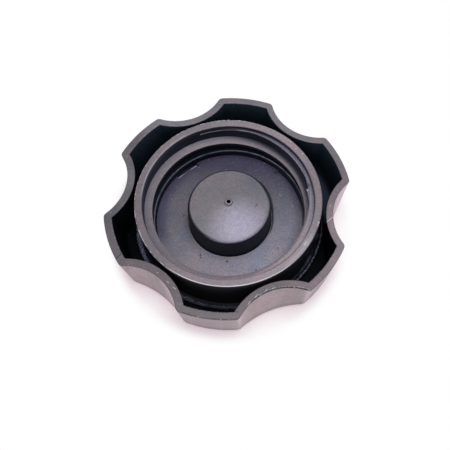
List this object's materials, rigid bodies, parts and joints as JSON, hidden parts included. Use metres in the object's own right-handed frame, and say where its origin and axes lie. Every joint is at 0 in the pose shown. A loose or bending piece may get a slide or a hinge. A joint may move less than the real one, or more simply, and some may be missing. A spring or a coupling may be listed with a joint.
{
  "type": "fuel tank cap",
  "caption": "Black plastic screw cap for a fuel tank: lobed hand grip, threaded collar inside it, round vent boss and flat gasket at the bottom of the bore.",
  "frame": {"origin": "centre of the closed outer face, on the surface that the cap lies on", "axes": "+Z along the thread's axis, out of the threaded mouth; +X through the middle of a lobe"},
  "size_m": [0.0808, 0.077, 0.019],
  "materials": {
    "grip_plastic": "satin, faded",
    "cup_plastic": "satin, faded",
    "gasket_rubber": "matte",
    "filter_foam": "open-cell foam"
  },
  "bodies": {
    "root": {"grip_cover": "grip_plastic", "threaded_cup": "cup_plastic", "sealing_gasket": "gasket_rubber", "vent_filter": "filter_foam"}
  },
  "joints": []
}
